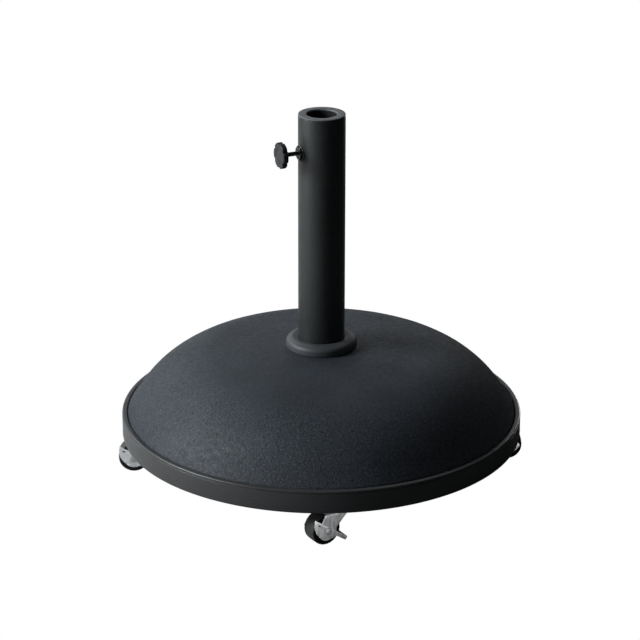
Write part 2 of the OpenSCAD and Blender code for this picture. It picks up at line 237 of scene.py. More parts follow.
def lathe(name, profile, segments, closed=True):
    """Turns (radius, height) points about Z. An open profile starts and ends on the axis."""
    angles = np.arange(segments) * TURN / segments
    ring = np.c_[np.cos(angles), np.sin(angles)]
    if closed:
        verts = [(r * x, r * y, z) for r, z in profile for x, y in ring]
        return mesh_object(name, verts, grid_faces(len(profile), segments, True, True))
    inner = profile[1:-1]
    verts = [(r * x, r * y, z) for r, z in inner for x, y in ring]
    faces = grid_faces(len(inner), segments, False, True)
    start, end = len(verts), len(verts) + 1
    verts += [(0, 0, profile[0][1]), (0, 0, profile[-1][1])]
    last = (len(inner) - 1) * segments
    for c in range(segments):
        c2 = (c + 1) % segments
        faces += [(start, c2, c), (end, last + c, last + c2)]
    return mesh_object(name, verts, faces)


def apply_modifiers(piece):
    """Replaces a piece's mesh by what its modifiers make of it."""
    graph = bpy.context.evaluated_depsgraph_get()
    graph.update()
    mesh = bpy.data.meshes.new_from_object(piece.evaluated_get(graph))
    piece.modifiers.clear()
    piece.data = mesh
    return piece


def bevel(piece, width):
    """Rounds the sharp edges."""
    modifier = piece.modifiers.new("bevel", "BEVEL")
    modifier.width = width
    modifier.segments = 2
    modifier.limit_method = "ANGLE"
    modifier.angle_limit = math.radians(50)
    modifier.use_clamp_overlap = True
    return apply_modifiers(piece)


def plate(name, outline, thickness, edge):
    """An outline in XY thickened upward from Z = 0, with rounded edges."""
    count = len(outline)
    verts = [(x, y, 0) for x, y in outline] + [(x, y, thickness) for x, y in outline]
    faces = [tuple(range(count)), tuple(range(2 * count - 1, count - 1, -1))]
    faces += [(i, (i + 1) % count, count + (i + 1) % count, count + i) for i in range(count)]
    return bevel(mesh_object(name, verts, faces), edge)


def cut(piece, cutter):
    """Takes one closed mesh out of another."""
    modifier = piece.modifiers.new("cut", "BOOLEAN")
    modifier.operation = "DIFFERENCE"
    modifier.object = cutter
    modifier.solver = "EXACT"
    apply_modifiers(piece)
    bpy.data.objects.remove(cutter)
    return piece


def join(pieces):
    """Puts several shells into the first object."""
    shell = bmesh.new()
    for piece in pieces:
        mesh = piece.data.copy()
        mesh.transform(piece.matrix_world)
        shell.from_mesh(mesh)
    shell.to_mesh(pieces[0].data)
    shell.free()
    pieces[0].matrix_world = Matrix.Identity(4)
    for piece in pieces[1:]:
        bpy.data.objects.remove(piece)
    return pieces[0]


def place(piece, matrix):
    """Moves a piece's points, and leaves its object at the origin."""
    piece.data.transform(matrix)
    piece.data.update()
    return piece


def tag(piece, name, values):
    """Stores one number a point, for the materials to read."""
    attribute = piece.data.attributes.new(name, "FLOAT", "POINT")
    attribute.data.foreach_set("value", np.asarray(values, np.float32))


def points(piece):
    """A piece's points, one row each."""
    co = np.zeros(len(piece.data.vertices) * 3, np.float32)
    piece.data.vertices.foreach_get("co", co)
    return co.reshape(-1, 3)


def show(piece, body, nodes, material, smooth_angle=35):
    """Gives a piece its finish and its body, and hides the CAD nodes that it stands for."""
    piece.data.materials.clear()
    piece.data.materials.append(material)
    piece.data.shade_smooth()
    piece.data.set_sharp_from_angle(angle=math.radians(smooth_angle))
    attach(piece, body)
    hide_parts(*nodes)
    return piece


# ---------------------------------------------------------------- materials


class Finish:
    """One procedural material, with short calls for the nodes that it uses."""

    def __init__(self, name, roughness, metallic=0.0, specular=0.5):
        self.material = bpy.data.materials.new(name)
        self.material.use_nodes = True
        self.nodes = self.material.node_tree.nodes
        self.links = self.material.node_tree.links
        self.shader = self.nodes["Principled BSDF"]
        self.shader.inputs["Metallic"].default_value = metallic
        self.shader.inputs["Roughness"].default_value = roughness
        self.shader.inputs["Specular IOR Level"].default_value = specular
        self.coords = self.nodes.new("ShaderNodeTexCoord").outputs["Object"]

    def noise(self, scale, detail, stretch=None):
        """A soft random pattern with about `scale` blobs a metre."""
        texture = self.nodes.new("ShaderNodeTexNoise")
        texture.inputs["Scale"].default_value = scale
        texture.inputs["Detail"].default_value = detail
        source = self.coords
        if stretch:
            mapping = self.nodes.new("ShaderNodeMapping")
            mapping.inputs["Scale"].default_value = stretch
            self.links.new(source, mapping.inputs["Vector"])
            source = mapping.outputs["Vector"]
        self.links.new(source, texture.inputs["Vector"])
        return texture.outputs["Fac"]

    def cell_values(self, scale):
        """One random grey value for each cell."""
        texture = self.nodes.new("ShaderNodeTexVoronoi")
        texture.inputs["Scale"].default_value = scale
        self.links.new(self.coords, texture.inputs["Vector"])
        return texture.outputs["Color"]

    def ramp(self, source, low, high, out_low=0.0, out_high=1.0):
        """Maps low..high onto out_low..out_high, clamped."""
        node = self.nodes.new("ShaderNodeMapRange")
        node.inputs["From Min"].default_value = low
        node.inputs["From Max"].default_value = high
        node.inputs["To Min"].default_value = out_low
        node.inputs["To Max"].default_value = out_high
        self.links.new(source, node.inputs["Value"])
        return node.outputs["Result"]

    def tagged(self, name):
        """The number that tag() stored under a name."""
        node = self.nodes.new("ShaderNodeAttribute")
        node.attribute_name = name
        return node.outputs["Fac"]

    def math(self, operation, a, b):
        node = self.nodes.new("ShaderNodeMath")
        node.operation = operation
        for socket, value in zip(node.inputs, (a, b)):
            if isinstance(value, (int, float)):
                socket.default_value = value
            else:
                self.links.new(value, socket)
        return node.outputs["Value"]

    def blend(self, factor, a, b):
        """Mixes two colours, each a tuple or a socket."""
        node = self.nodes.new("ShaderNodeMix")
        node.data_type = "RGBA"
        self.links.new(factor, node.inputs["Factor"])
        for key, value in (("A", a), ("B", b)):
            socket = [s for s in node.inputs if s.name == key and s.type == "RGBA"][0]
            if isinstance(value, tuple):
                socket.default_value = (*value, 1)
            else:
                self.links.new(value, socket)
        return [s for s in node.outputs if s.type == "RGBA"][0]

    def colour(self, source):
        self.links.new(source, self.shader.inputs["Base Color"])

    def roughness(self, source):
        self.links.new(source, self.shader.inputs["Roughness"])

    def relief(self, layers):
        """Stacks (height, depth in metres) layers into one bump."""
        previous = None
        for source, depth in layers:
            bump = self.nodes.new("ShaderNodeBump")
            bump.inputs["Distance"].default_value = depth
            bump.inputs["Strength"].default_value = 1.0
            self.links.new(source, bump.inputs["Height"])
            if previous:
                self.links.new(previous, bump.inputs["Normal"])
            previous = bump.outputs["Normal"]
        self.links.new(previous, self.shader.inputs["Normal"])


def coated_concrete():
    """Dark blue-grey coating over cast concrete: fine grit, pits and faint trowel clouds."""
    f = Finish("coated_concrete", 0.66, specular=0.3)
    clouds = f.ramp(f.noise(14, 4), 0.35, 0.65)
    base = f.blend(clouds, (0.0242, 0.0292, 0.0362), (0.0332, 0.0398, 0.049))
    coarse = f.tagged("coarse")
    grit = f.math("MULTIPLY", coarse, f.ramp(f.noise(620, 2), 0.53, 0.64))
    base = f.blend(grit, base, (0.067, 0.079, 0.095))
    pits = f.math("MULTIPLY", coarse, f.ramp(f.noise(430, 2), 0.32, 0.42, 1, 0))
    base = f.blend(pits, base, (0.010, 0.010, 0.012))
    f.colour(base)
    f.roughness(f.ramp(f.noise(180, 3), 0.3, 0.7, 0.5, 0.68))
    f.relief([(f.math("MULTIPLY", coarse, f.noise(360, 4)), 0.0006), (f.noise(900, 3), 0.0003)])
    return f.material


def moulded_plastic(name, dark, light, rough, grain, painted_shade=None):
    """Satin plastic: fine moulded grain, rubbed patches, and a dull dark painted shade where it is
    tagged.
    """
    f = Finish(name, rough)
    clouds = f.ramp(f.noise(9, 4), 0.35, 0.7)
    base = f.blend(clouds, dark, light)
    scuffs = f.ramp(f.noise(70, 5, (1, 1, 6)), 0.62, 0.78)
    base = f.blend(scuffs, base, tuple(1.4 * c for c in light))
    if painted_shade:
        # painted shade: the tagged surface is darkened to near black and dulled
        base = f.blend(f.tagged(painted_shade), base, (0.006, 0.006, 0.007))
    f.colour(base)
    dull = f.ramp(f.noise(40, 4), 0.3, 0.7, rough - 0.05, rough + 0.08)
    if painted_shade:
        dull = f.math("ADD", dull, f.math("MULTIPLY", f.tagged(painted_shade), 0.45))
    f.roughness(dull)
    f.relief([(f.noise(grain, 2), 0.00012)])
    return f.material


def powder_coat():
    """Black powder coat on steel, with its orange-peel surface."""
    f = Finish("powder_coat", 0.42)
    clouds = f.ramp(f.noise(12, 3), 0.35, 0.7)
    base = f.blend(clouds, (0.0122, 0.0146, 0.0148), (0.0168, 0.0198, 0.0201))
    specks = f.ramp(f.noise(500, 1), 0.72, 0.8)
    f.colour(f.blend(specks, base, (0.07, 0.07, 0.07)))
    f.roughness(f.ramp(f.noise(60, 4), 0.3, 0.7, 0.38, 0.5))
    f.relief([(f.noise(420, 2), 0.00018), (f.noise(1500, 1), 0.00005)])
    return f.material


def plated(name, tint, rough, crystals=170):
    """Bright zinc plate on pressed steel: spangle, drawn streaks and dull handling marks."""
    f = Finish(name, rough, metallic=0.75)
    spangle = f.cell_values(crystals)
    base = f.blend(f.ramp(spangle, 0, 1), tuple(0.82 * c for c in tint), tint)
    stains = f.ramp(f.noise(120, 5), 0.52, 0.75)
    f.colour(f.blend(stains, base, tuple(0.55 * c for c in tint)))
    streaks = f.noise(260, 3, (1, 1, 0.15))
    f.roughness(f.ramp(streaks, 0.3, 0.7, rough - 0.08, rough + 0.14))
    f.relief([(streaks, 0.00006), (f.noise(1200, 2), 0.00003)])
    return f.material


def tyre_rubber():
    """Black rubber, greyed by dust where the tread meets the floor."""
    f = Finish("tyre_rubber", 0.6, specular=0.25)
    dust = f.math("MULTIPLY", f.tagged("tread"), f.ramp(f.noise(130, 5), 0.25, 0.75, 0.35, 1))
    f.colour(f.blend(dust, (0.005, 0.005, 0.0055), (0.11, 0.109, 0.107)))
    f.roughness(f.ramp(dust, 0, 1, 0.45, 0.85))
    f.relief([(f.noise(700, 3), 0.0002)])
    return f.material


def plain_metal(name, tint, rough):
    """Metal that is mostly out of sight: mottled, lightly worn."""
    f = Finish(name, rough, metallic=1.0)
    mottle = f.ramp(f.noise(90, 4), 0.3, 0.7)
    f.colour(f.blend(mottle, tuple(0.7 * c for c in tint), tint))
    f.roughness(f.ramp(f.noise(200, 3), 0.3, 0.7, rough - 0.05, rough + 0.1))
    f.relief([(f.noise(800, 2), 0.00005)])
    return f.material


def black_oxide():
    """Blackened steel with its thread crests rubbed brighter."""
    f = Finish("black_oxide", 0.35, metallic=0.6)
    worn = f.math("MULTIPLY", f.tagged("crest"), f.ramp(f.noise(300, 4), 0.3, 0.6))
    f.colour(f.blend(worn, (0.02, 0.02, 0.022), (0.12, 0.12, 0.125)))
    f.roughness(f.ramp(f.noise(150, 3), 0.3, 0.7, 0.3, 0.5))
    f.relief([(f.noise(900, 2), 0.00005)])
    return f.material


# ---------------------------------------------------------------- weight and tray

CROWN_ARC = 1.15
CROWN_SLOPE = math.radians(7)
SHOULDER_ARC = 0.14
SKIRT_SLOPE = math.radians(55)
CAST_RELIEF = 0.22 * MM
GRIT_RELIEF = 0.16 * MM


def crown_height(r, top):
    return top - CROWN_ARC + math.sqrt(CROWN_ARC ** 2 - r * r)


def dome_height(r, top, edge_r):
    """Height of the dome's surface: a shallow crown, a tighter shoulder, then a straight skirt."""
    crown_end = CROWN_ARC * math.sin(CROWN_SLOPE)
    if r <= crown_end:
        return crown_height(r, top)
    centre_r = crown_end - SHOULDER_ARC * math.sin(CROWN_SLOPE)
    centre_z = crown_height(crown_end, top) - SHOULDER_ARC * math.cos(CROWN_SLOPE)
    skirt_r = centre_r + SHOULDER_ARC * math.sin(SKIRT_SLOPE)
    if r <= skirt_r:
        return centre_z + math.sqrt(SHOULDER_ARC ** 2 - (r - centre_r) ** 2)
    skirt_z = centre_z + SHOULDER_ARC * math.cos(SKIRT_SLOPE)
    return skirt_z - (min(r, edge_r) - skirt_r) * math.tan(SKIRT_SLOPE)


def make_weight():
    lo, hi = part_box("concrete_weight")
    bore_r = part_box("mast_tube")[1].x + 0.3 * MM
    edge_r = hi.x
    top = crown_height(0, hi.z) + (hi.z - crown_height(bore_r, hi.z))
    rings = [bore_r + (edge_r - bore_r) * i / 150 for i in range(151)]
    skin = [(r, dome_height(r, top, edge_r)) for r in rings]
    recess_r, recess_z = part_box("foot_plate")[1].x + 2 * MM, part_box("foot_plate")[1].z
    under = [
        (edge_r - 0.2 * MM, skin[-1][1] - 4 * MM), (edge_r - 0.2 * MM, lo.z + 3 * MM),
        (edge_r - 3 * MM, lo.z), (recess_r, lo.z), (recess_r, recess_z), (bore_r, recess_z),
    ]
    piece = lathe("weight", skin + under, segments=600)
    co = points(piece)
    for i, p in enumerate(co):
        r = math.hypot(p[0], p[1])
        if p[2] < skin[-1][1] - MM or r < bore_r + MM or r > edge_r - 1.5 * MM:
            continue
        v = Vector(p)
        swell = CAST_RELIEF * noise.noise(v * 22)
        grit = GRIT_RELIEF * noise.noise(v * 380)
        co[i, 2] += swell + grit
    piece.data.vertices.foreach_set("co", co.ravel())
    piece.data.update()
    tag(piece, "coarse", np.clip((np.hypot(co[:, 0], co[:, 1]) - 0.12) / 0.08, 0.35, 1))
    return show(piece, "base", ["concrete_weight"], coated_concrete(), 60)


def make_tray():
    lo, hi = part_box("base_tray")
    weight_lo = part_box("concrete_weight")[0]
    out_r, top, floor_z = hi.x, hi.z, weight_lo.z
    wall, lip, drain_r = 3 * MM, 6.8 * MM, 8 * MM
    corners = [
        (drain_r, lo.z, 0.5 * MM),
        (out_r, lo.z, 3 * MM),
        (out_r, top - 4.4 * MM, 0.4 * MM),
        (out_r - 0.9 * MM, top - 3.8 * MM, 0.2 * MM),
        (out_r - 0.9 * MM, top - 3.2 * MM, 0.2 * MM),
        (out_r, top - 2.8 * MM, 0.3 * MM),
        (out_r, top, 2.1 * MM),
        (out_r - lip, top, 1.8 * MM),
        (out_r - lip, top - wall, 0.4 * MM),
        (out_r - wall, top - wall, 0.6 * MM),
        (out_r - wall, floor_z, 4 * MM),
        (drain_r, floor_z, 0.5 * MM),
    ]
    piece = lathe("tray", rounded(corners, 7), segments=360)
    finish = moulded_plastic("tray_plastic", (0.038, 0.039, 0.04), (0.048, 0.049, 0.05), 0.36, 900)
    return show(piece, "base", ["base_tray"], finish)


# ---------------------------------------------------------------- mast tube and collar

FLANGE_T = 1.3 * MM
BOSS_HOLE_R = 5.5 * MM
SLEEVE_HOLE_R = 5.08 * MM


def drill_clamp_hole(piece, clamp, radius, start, end):
    """Cuts a round hole along the clamp screw's axis."""
    drill = lathe("drill", [(0, start), (radius, start), (radius, end), (0, end)], 48, closed=False)
    return cut(piece, place(drill, clamp))


def make_tube(clamp):
    lo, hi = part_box("mast_tube")
    wall, edge = 2 * MM, 0.5 * MM
    top = hi.z - FLANGE_T - 0.1 * MM
    corners = [
        (hi.x, lo.z, edge), (hi.x, top, 1.1 * MM),
        (hi.x - wall, top, edge), (hi.x - wall, lo.z, edge),
    ]
    piece = lathe("tube", rounded(corners, 4), segments=160)
    drill_clamp_hole(piece, clamp, BOSS_HOLE_R, hi.x - 6 * MM, hi.x + 2 * MM)
    return show(piece, "base", ["mast_tube"], powder_coat())


def make_collar():
    """A ring with a broad rounded shoulder that meets the tube near its top."""
    lo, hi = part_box("collar")
    out_r, top = hi.x, hi.z
    in_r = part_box("mast_tube")[1].x + 0.2 * MM
    height = top - lo.z
    corners = [
        (in_r, lo.z + 0.5 * MM, 0), (out_r - 1 * MM, lo.z, 0.6 * MM),
        (out_r, lo.z + 1.2 * MM, 0.8 * MM),
        (out_r, lo.z + height * 0.72, 6 * MM),
        (in_r + 7 * MM, top, 6 * MM), (in_r, top - 0.8 * MM, 0.4 * MM),
    ]
    piece = lathe("collar", rounded(corners, 10), segments=200)
    dark, light = (0.05, 0.0545, 0.059), (0.062, 0.067, 0.073)
    finish = moulded_plastic("collar_plastic", dark, light, 0.5, 1200)
    return show(piece, "base", ["collar"], finish, 50)


def make_sleeve(clamp):
    """The reducer inside the tube, with a flange on the tube's end and a painted shade darkening
    its bore below the top.
    """
    lo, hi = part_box("reducer_sleeve")
    out_r, bore_r = hi.x, 19.4 * MM
    flange_r = out_r + 1.8 * MM
    corners = [
        (out_r, lo.z, 0.5 * MM), (out_r, hi.z - FLANGE_T, 0.1 * MM),
        (flange_r, hi.z - FLANGE_T, 0.3 * MM), (flange_r, hi.z, 0.4 * MM),
        (bore_r, hi.z, 1.2 * MM), (bore_r, hi.z - 1.6 * MM, 0), (bore_r, hi.z - 2.4 * MM, 0),
        (bore_r, lo.z, 0.8 * MM),
    ]
    piece = lathe("sleeve", rounded(corners, 5), segments=160)
    drill_clamp_hole(piece, clamp, SLEEVE_HOLE_R, bore_r - MM, bore_r + 11 * MM)
    # painted shade: the sleeve is darkened from 1.4 mm below its top downward, which shows in its
    # bore
    tag(piece, "bore_painted_shade", np.clip((hi.z - 1.4 * MM - points(piece)[:, 2]) / (0.8 * MM), 0, 1))
    dark, light = (0.13, 0.135, 0.143), (0.155, 0.16, 0.17)
    finish = moulded_plastic("sleeve_plastic", dark, light, 0.45, 1100, "bore_painted_shade")
    return show(piece, "base", ["reducer_sleeve"], finish)


# ---------------------------------------------------------------- clamp

SCREW_PITCH = 1.0 * MM


def clamp_frame():
    """A matrix whose Z runs outward along the clamp screw, from the tube's axis."""
    joint = JOINTS["clamp_turn"]
    axis = Vector(joint["axis"]).normalized()
    turn = axis.to_track_quat("Z", "X").to_matrix().to_4x4()
    return Matrix.Translation((0, 0, joint["pos_m"][2])) @ turn


def hexagon_radius(angle, corner_r):
    """Distance to a hexagon's side in a direction."""
    flat = corner_r * math.cos(math.pi / 6)
    return flat / math.cos((angle + math.pi / 6) % (math.pi / 3) - math.pi / 6)


def hex_nut(name, corner_r, bore_r, seat_r, seat_depth, low, high):
    """A nut with both its ends chamfered, and a round seat in its lower end."""
    segments, flat = 96, corner_r * math.cos(math.pi / 6)
    chamfer = corner_r - flat
    stations = [(0, flat - 0.2 * MM), (0.35, flat + chamfer * 0.35), (0.75, corner_r)]
    levels = [(low + d * chamfer, cap) for d, cap in stations]
    levels += [(high - d * chamfer, cap) for d, cap in reversed(stations)]
    verts = []
    seat = low + seat_depth
    levels += [
        (high, bore_r + 0.6 * MM), (high - 0.6 * MM, bore_r),
        (seat, bore_r), (seat, seat_r), (low, seat_r),
    ]
    for z, cap in levels:
        for k in range(segments):
            a = k * TURN / segments
            r = min(cap, hexagon_radius(a, corner_r))
            verts.append((r * math.cos(a), r * math.sin(a), z))
    return mesh_object(name, verts, grid_faces(len(levels), segments, True, True))


def weld_bead(name, ring_r, bead_r, tube_r):
    """A rippled bead around the foot of the nut, lying on the round tube."""
    steps, sides = 90, 10
    verts = []
    for i in range(steps):
        a = i * TURN / steps
        x, y = ring_r * math.cos(a), ring_r * math.sin(a)
        z = math.sqrt(tube_r ** 2 - y * y) + 0.2 * MM
        r = bead_r * (1 + 0.12 * math.sin(a * 17) + 0.25 * noise.noise(Vector((x, y, z)) * 300))
        for k in range(sides):
            b = k * TURN / sides
            out = 1 + r * math.cos(b) / ring_r
            verts.append((x * out, y * out, z + r * math.sin(b)))
    return mesh_object(name, verts, grid_faces(steps, sides, True, True))


def make_nut(clamp):
    tube_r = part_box("mast_tube")[1].x
    corner_r, thread_r, seat_r, seat_depth = 9.4 * MM, 3 * MM, 5.4 * MM, 1.5 * MM
    low, high = tube_r - 1.7 * MM, 33 * MM
    nut = hex_nut("clamp_boss", corner_r, thread_r, seat_r, seat_depth, low, high)
    join([nut, weld_bead("bead", corner_r + 0.1 * MM, 1.3 * MM, tube_r)])
    place(nut, clamp)
    return show(nut, "base", ["clamp_nut"], bpy.data.materials["powder_coat"], 30)


def make_screw(clamp):
    """Nose, then a real helical thread out to the knob."""
    root_r, crest_r = 2.4 * MM, 2.9 * MM
    start, end = 25.5 * MM, 54 * MM
    around, per_turn = 36, 12
    rows = int((end - start) / SCREW_PITCH * per_turn)
    verts, crest = [], []
    nose = [(0.01 * MM, 23.0), (1.7 * MM, 23.0), (2.05 * MM, 23.4), (2.05 * MM, 25.5)]
    for r, z in nose:
        for k in range(around):
            a = k * TURN / around
            verts.append((r * math.cos(a), r * math.sin(a), z * MM))
            crest.append(0)
    for i in range(rows + 1):
        z = start + (end - start) * i / rows
        for k in range(around):
            a = k * TURN / around
            phase = (z / SCREW_PITCH - k / around) % 1
            ridge = min(1, max(0, 1.25 - abs(phase - 0.5) * 3.2))
            fade = min(1, (z - start) / SCREW_PITCH + 0.1)
            r = root_r + (crest_r - root_r) * ridge * fade
            verts.append((r * math.cos(a), r * math.sin(a), z))
            crest.append(ridge * fade)
    count = len(nose) + rows + 1
    faces = grid_faces(count, around, False, True) + caps(count, around)
    piece = mesh_object("screw", verts, faces)
    tag(piece, "crest", crest)
    place(piece, clamp)
    return show(piece, "clamp_screw_and_knob", ["clamp_screw"], black_oxide(), 50)


def make_knob(clamp):
    """Six broad lobes with finger notches between them, a conical neck and a dished cap."""
    lobes, around, notch_depth = 6, 240, 0.125
    # Radius and distance from the tube's axis in millimetres, and how much the notches cut there.
    stations = [
        (2.2, 46.5, 0), (3.6, 46.5, 0), (3.9, 46.9, 0), (4.7, 48.8, 0), (6.2, 50.6, 0),
        (8.4, 51.7, 0.1), (11.0, 52.0, 0.4), (14.8, 52.0, 0.95), (15.9, 52.2, 1), (16.5, 52.8, 1),
        (16.7, 53.5, 1), (16.7, 57.7, 1), (16.5, 58.4, 1), (15.9, 59.0, 1), (14.9, 59.2, 1),
        (13.0, 59.2, 0.8), (11.2, 59.2, 0.2), (10.4, 58.9, 0), (9.9, 58.5, 0), (4.5, 58.3, 0),
        (0.4, 58.3, 0),
    ]
    verts = []
    for r, z, share in stations:
        for k in range(around):
            a = k * TURN / around
            notch = max(0, math.cos(lobes * a)) ** 2.2 * notch_depth * share
            reach = r * MM * (1 - notch)
            verts.append((reach * math.cos(a), reach * math.sin(a), z * MM))
    faces = grid_faces(len(stations), around, False, True) + caps(len(stations), around)
    piece = place(mesh_object("knob", verts, faces), clamp)
    dark, light = (0.0095, 0.0102, 0.0105), (0.0138, 0.0146, 0.015)
    finish = moulded_plastic("knob_plastic", dark, light, 0.45, 1000)
    return show(piece, "clamp_screw_and_knob", ["clamp_knob"], finish, 40)


def make_pad(clamp):
    """The soft tip, with a blind hole for the screw's nose."""
    pad_r, hole_r, centre_r = 5.0 * MM, 2.1 * MM, 0.3 * MM
    face, floor, back = 20.2 * MM, 22.7 * MM, 25.4 * MM
    profile = rounded([
        (hole_r, back, 0.2 * MM), (pad_r, back, 0.4 * MM), (pad_r, face, 0.8 * MM),
        (centre_r, face, 0), (centre_r, floor, 0), (hole_r, floor, 0),
    ], 4)
    piece = place(lathe("tip", profile, 64), clamp)
    finish = moulded_plastic("pad_nylon", (0.6, 0.58, 0.53), (0.7, 0.68, 0.64), 0.4, 900)
    return show(piece, "clamp_pad", ["screw_pad"], finish)


# ---------------------------------------------------------------- casters

SHEET_EDGE = 0.3 * MM

def caster_frame(name):
    """A matrix at the swivel axis on the floor with X toward the axle, the trail, the axle's z."""
    swivel, roll = JOINTS[f"swivel_{name}"], JOINTS[f"roll_{name}"]
    origin = Vector((swivel["pos_m"][0], swivel["pos_m"][1], 0))
    reach = Vector((roll["pos_m"][0], roll["pos_m"][1], 0)) - origin
    turn = Matrix.Rotation(math.atan2(reach.y, reach.x), 4, "Z")
    return Matrix.Translation(origin) @ turn, reach.length, roll["pos_m"][2]


def radial_frame(name):
    """A matrix at the caster's swivel axis on the floor, with X away from the mast."""
    x, y = JOINTS[f"swivel_{name}"]["pos_m"][:2]
    return Matrix.Translation((x, y, 0)) @ Matrix.Rotation(math.atan2(y, x), 4, "Z")


def sheet_metal(name, rows, thickness):
    """A pressed sheet from rows of points on its middle surface."""
    columns = len(rows[0])
    verts = [p for row in rows for p in row]
    piece = mesh_object(name, verts, grid_faces(len(rows), columns, False, False))
    modifier = piece.modifiers.new("thickness", "SOLIDIFY")
    modifier.thickness = thickness
    modifier.offset = 0
    modifier.use_even_offset = True
    apply_modifiers(piece)
    return bevel(piece, SHEET_EDGE)


def u_path(half, levels, top_z, bend):
    """(y, z) points of a U: up one leg, round a bend, across, round a bend and down."""
    side = [(half, z) for z in levels]
    corner = arc((half - bend, top_z - bend), bend, 0, 90, 8)[1:]
    across = [(y, top_z) for y in np.linspace(half - bend, 0, 14)[1:]]
    right = side + corner + across
    return right + [(-y, z) for y, z in reversed(right[:-1])]


def make_fork(name):
    """A pressed U: round eyes at its feet, straight edges that lean back, and a ball cup on top."""
    matrix, trail, axle_z = caster_frame(name)
    thickness, bend, eye_r = 1.5 * MM, 3.2 * MM, 13 * MM
    half, crown_z, cup_r = 12.25 * MM, 42.1 * MM, 16.2 * MM
    nose, tail = -10 * MM, 24.5 * MM
    front_join, back_join = math.radians(172), math.radians(50)
    round_part = [axle_z - eye_r * math.cos(a) for a in np.radians(np.linspace(8, 90, 14))]
    levels = round_part + list(np.linspace(axle_z, crown_z - bend, 24)[1:])

    def edge(z, join_angle, top_t):
        join_z = axle_z + eye_r * math.sin(join_angle)
        if z > join_z:
            join_t = trail + eye_r * math.cos(join_angle)
            return join_t + (top_t - join_t) * (z - join_z) / (crown_z - join_z)
        reach = math.sqrt(eye_r ** 2 - (z - axle_z) ** 2)
        return trail + math.copysign(reach, math.cos(join_angle))

    rows = []
    for y, z in u_path(half, levels, crown_z, bend):
        front, back = edge(z, front_join, nose), edge(z, back_join, tail)
        if z > crown_z - bend:
            front = min(front, -math.sqrt(max(0, cup_r ** 2 - y * y)) * (1 - 0.25 * abs(y) / half))
        rows.append([(front + (back - front) * u, y, z) for u in np.linspace(0, 1, 14)])
    fork = sheet_metal("fork_sheet", rows, thickness)
    cup_in, pin_r, brim_z = cup_r - 1.7 * MM, 5 * MM, 46.5 * MM
    under, floor = crown_z - 0.6 * MM, crown_z + 0.9 * MM
    cup = lathe("cup", rounded([
        (cup_r, under, 1.4 * MM), (cup_r, brim_z, 0.9 * MM), (cup_in, brim_z, 0.5 * MM),
        (cup_in, floor, 0.8 * MM), (pin_r, floor, 0.2 * MM), (pin_r, under, 0.2 * MM),
    ], 5), 96)
    join([fork, cup])
    fork.name = f"pressed_fork_{name}"
    place(fork, matrix)
    return show(fork, f"swivel_{name}", [f"fork_{name}"], ZINC_FORK_PAINTED_SHADE, 40)


def axle_matrix(name):
    """A matrix on the axle, with Z along it and X level, toward the trailing side."""
    matrix, trail, axle_z = caster_frame(name)
    return matrix @ Matrix.Translation((trail, 0, axle_z)) @ Matrix.Rotation(math.pi / 2, 4, "X")


def make_axle(name):
    """A rivet with a formed dome at each end."""
    end, head_r, bar_r = 16.4 * MM, 4.8 * MM, 3.0 * MM
    dome = [
        (0, end), (1.2 * MM, end - 0.02 * MM), (2.8 * MM, end - 0.25 * MM),
        (4.1 * MM, end - 0.6 * MM), (head_r, end - 1.0 * MM), (head_r, end - 1.25 * MM),
        (bar_r, end - 1.3 * MM),
    ]
    profile = dome + [(r, -z) for r, z in reversed(dome)]
    piece = place(lathe(f"rivet_{name}", profile, 48, closed=False), axle_matrix(name))
    return show(piece, f"swivel_{name}", [f"axle_{name}"], ZINC_AXLE)


def make_wheel(name):
    """A crowned tyre on a nylon centre with a boss, a recess and a rim on each side."""
    wheel_r, half, hub_r = 20 * MM, 11 * MM, 12 * MM
    tread = rounded([
        (hub_r, -half + 1.2 * MM, 0.4 * MM), (hub_r + 1.6 * MM, -half + 0.2 * MM, 0.6 * MM),
        (wheel_r - 0.3 * MM, -half, 2.4 * MM), (wheel_r, 0, 12 * MM),
        (wheel_r - 0.3 * MM, half, 2.4 * MM), (hub_r + 1.6 * MM, half - 0.2 * MM, 0.6 * MM),
        (hub_r, half - 1.2 * MM, 0.4 * MM),
    ], 5)
    tyre = lathe(f"tread_{name}", tread, 120)
    co = points(tyre)
    reach = np.hypot(co[:, 0], co[:, 1])
    tag(tyre, "tread", np.clip((reach - wheel_r + 1.6 * MM) / (1.2 * MM), 0, 1))
    place(tyre, axle_matrix(name))
    show(tyre, f"wheel_{name}", [f"tyre_{name}"], RUBBER, 60)

    bore_r, recess, rim = 3.06 * MM, 8.6 * MM, 10.4 * MM
    face = rounded([
        (bore_r, half, 0.3 * MM), (5.6 * MM, half, 0.5 * MM), (6.4 * MM, recess, 0.6 * MM),
        (10.2 * MM, recess, 0.6 * MM), (10.8 * MM, rim, 0.4 * MM), (hub_r, rim, 0.4 * MM),
    ], 4)
    profile = face + [(r, -z) for r, z in reversed(face)]
    hub = place(lathe(f"wheel_centre_{name}", profile, 96), axle_matrix(name))
    show(hub, f"wheel_{name}", [f"hub_{name}"], NYLON)


